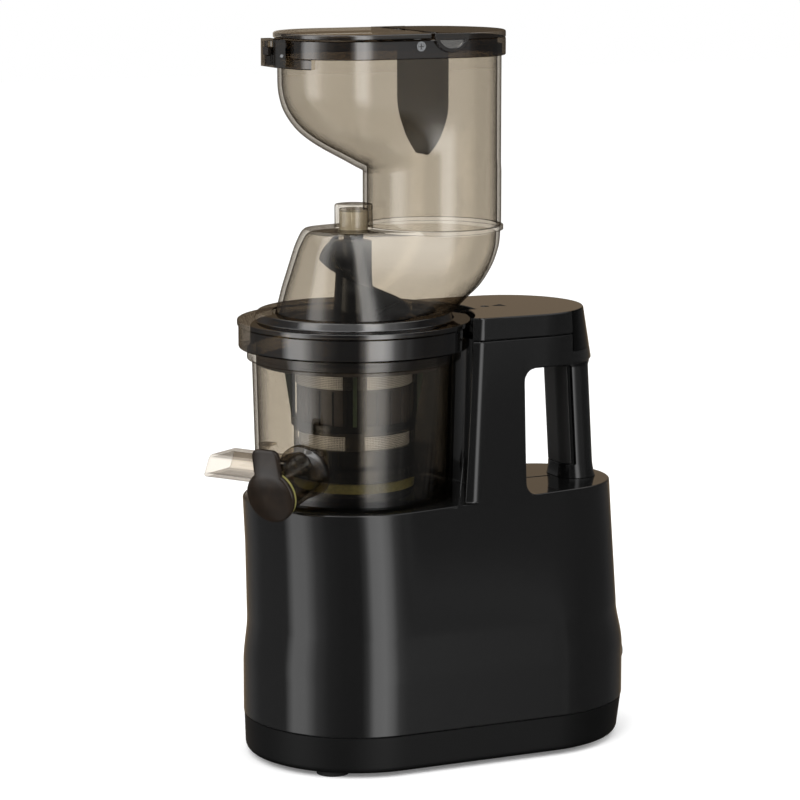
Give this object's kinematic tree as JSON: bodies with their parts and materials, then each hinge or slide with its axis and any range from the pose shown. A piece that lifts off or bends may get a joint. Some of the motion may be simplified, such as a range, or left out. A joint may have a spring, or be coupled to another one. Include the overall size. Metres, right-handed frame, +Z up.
{
  "type": "cold press juicer",
  "caption": "Upright slow juicer with motor base and carry handle, smoky bowl with juice and pulp spouts, auger, strainer, brush and a wide offset feed chute with hinged lid.",
  "frame": {"origin": "middle of the bounding box in plan, at the ground under the feet", "axes": "+Z up, -Y the front with the bowl and spouts, +Y the carry handle"},
  "size_m": [0.1668, 0.2763, 0.445],
  "materials": {
    "gloss_black": "polished black ABS",
    "tray_black": "satin black ABS",
    "soft_black": "soft-touch black elastomer",
    "foot_rubber": "matte black rubber",
    "steel": "turned steel",
    "can_steel": "drawn steel",
    "core_copper": "laminated core with varnished copper windings",
    "gear_case": "glass-filled nylon",
    "gear_nylon": "acetal",
    "sinter": "sintered steel",
    "board_green": "solder mask",
    "switch_black": "moulded black nylon",
    "smoke_clear": "smoky transparent copolyester",
    "smoke_dark": "dark smoky transparent copolyester",
    "cap_dark": "dark brown smoky plastic",
    "olive_silicone": "silicone",
    "green_silicone": "silicone",
    "strainer_grey": "grey moulded plastic",
    "mesh_steel": "etched stainless sheet",
    "cage_smoke": "smoky transparent plastic",
    "auger_black": "polished black PEI",
    "window_clear": "pale smoky plastic",
    "flap_grey": "translucent grey plastic",
    "white_plastic": "acetal"
  },
  "bodies": {
    "base": {"base_tray": "tray_black", "rubber_feet": "foot_rubber", "tray_screws": "steel", "housing_shell": "gloss_black", "tower_cap": "gloss_black", "gloss_band": "switch_black", "handle_grip": "gloss_black", "grip_insert": "soft_black", "deck_seal": "olive_silicone", "motor_can": "can_steel", "stator": "core_copper", "motor_bearings": "steel", "gearbox_case": "gear_case", "gearbox_lid": "gear_case", "ring_gear": "sinter", "output_bearing": "steel", "motor_bracket": "tray_black", "control_board": "board_green", "reed_sensor": "board_green", "switch_body": "switch_black", "cord_gland": "soft_black"},
    "rotor_body": {"rotor": "can_steel", "cooling_fan": "tray_black"},
    "output": {"planet_carrier": "steel"},
    "planet_a": {"planet_gear_a": "gear_nylon"},
    "planet_b": {"planet_gear_b": "gear_nylon"},
    "planet_c": {"planet_gear_c": "gear_nylon"},
    "rocker": {"power_rocker": "switch_black"},
    "bowl": {"juice_bowl": "smoke_clear", "pulp_outlet": "smoke_clear", "pedestal_seal": "olive_silicone", "idler_post": "steel", "strainer_frame": "strainer_grey", "strainer_mesh": "mesh_steel", "cap_pin": "steel"},
    "idler": {"idler_gear": "white_plastic"},
    "cap": {"juice_cap": "cap_dark", "cap_gasket": "olive_silicone"},
    "press": {"auger": "auger_black", "auger_gear": "auger_black", "auger_socket": "steel"},
    "brush": {"brush_cage": "cage_smoke", "wiper_blades": "green_silicone"},
    "hopper": {"hopper_base": "smoke_clear", "feed_chute": "smoke_clear", "auger_bush": "white_plastic", "rim_ring": "smoke_dark", "rear_cover": "smoke_dark", "ear_windows": "window_clear", "rim_screws": "steel", "lock_magnet": "steel", "lid_pin": "steel", "flap_pin": "steel"},
    "lid": {"feed_lid": "smoke_dark", "latch_housing": "smoke_dark", "latch_pin": "steel"},
    "latch": {"latch_lever": "switch_black"},
    "flap": {"feed_flap": "flap_grey"}
  },
  "joints": [
    {"name": "motor_spin", "type": "hinge", "parent": "base", "child": "rotor_body", "pos_m": [0.012, -0.0479, 0.06], "axis": [0, 0, 1], "continuous": true},
    {"name": "output_spin", "type": "hinge", "parent": "base", "child": "output", "pos_m": [0.012, -0.0479, 0.124], "axis": [0, 0, 1], "continuous": true},
    {"name": "planet_a_spin", "type": "hinge", "parent": "output", "child": "planet_a", "pos_m": [0.03, -0.0479, 0.114], "axis": [0, 0, 1], "continuous": true},
    {"name": "planet_b_spin", "type": "hinge", "parent": "output", "child": "planet_b", "pos_m": [0.003, -0.03231, 0.114], "axis": [0, 0, 1], "continuous": true},
    {"name": "planet_c_spin", "type": "hinge", "parent": "output", "child": "planet_c", "pos_m": [0.003, -0.06349, 0.114], "axis": [0, 0, 1], "continuous": true},
    {"name": "power_switch", "type": "hinge", "parent": "base", "child": "rocker", "pos_m": [0.012, 0.09941, 0.2605], "axis": [1, 0, 0], "range_deg": [-10, 10]},
    {"name": "bowl_lift", "type": "slide", "parent": "base", "child": "bowl", "axis": [0, 0, 1], "range_m": [0, 0.06]},
    {"name": "juice_cap_flip", "type": "hinge", "parent": "bowl", "child": "cap", "pos_m": [0.06809, -0.1251, 0.19655], "axis": [-0.809, -0.5878, 0], "range_deg": [0, 75]},
    {"name": "auger_spin", "type": "hinge", "parent": "bowl", "child": "press", "pos_m": [0.012, -0.0479, 0.2], "axis": [0, 0, 1], "continuous": true},
    {"name": "idler_spin", "type": "hinge", "parent": "bowl", "child": "idler", "pos_m": [0.02475, -0.02582, 0.179], "axis": [0, 0, 1], "continuous": true},
    {"name": "brush_spin", "type": "hinge", "parent": "bowl", "child": "brush", "pos_m": [0.012, -0.0479, 0.21], "axis": [0, 0, 1], "continuous": true},
    {"name": "hopper_twist", "type": "hinge", "parent": "bowl", "child": "hopper", "pos_m": [0.012, -0.0479, 0.262], "axis": [0, 0, 1], "range_deg": [0, 20]},
    {"name": "lid_hinge", "type": "hinge", "parent": "hopper", "child": "lid", "pos_m": [0.012, -0.0133, 0.4419], "axis": [-1, 0, 0], "range_deg": [0, 90]},
    {"name": "latch_press", "type": "hinge", "parent": "lid", "child": "latch", "pos_m": [0.012, -0.09937, 0.432], "axis": [-1, 0, 0], "range_deg": [0, 8], "stiffness_Nm_per_rad": 0.02},
    {"name": "flap_swing", "type": "hinge", "parent": "hopper", "child": "flap", "pos_m": [0.012, -0.0019, 0.4366], "axis": [1, 0, 0], "range_deg": [-75, 35]}
  ],
  "couplings": [
    {"joint": "motor_spin", "follows": "output_spin", "ratio": 6},
    {"joint": "planet_a_spin", "follows": "output_spin", "ratio": -2.5},
    {"joint": "planet_b_spin", "follows": "output_spin", "ratio": -2.5},
    {"joint": "planet_c_spin", "follows": "output_spin", "ratio": -2.5},
    {"joint": "auger_spin", "follows": "output_spin", "ratio": 1},
    {"joint": "idler_spin", "follows": "output_spin", "ratio": -0.88889},
    {"joint": "brush_spin", "follows": "output_spin", "ratio": -0.30769}
  ]
}
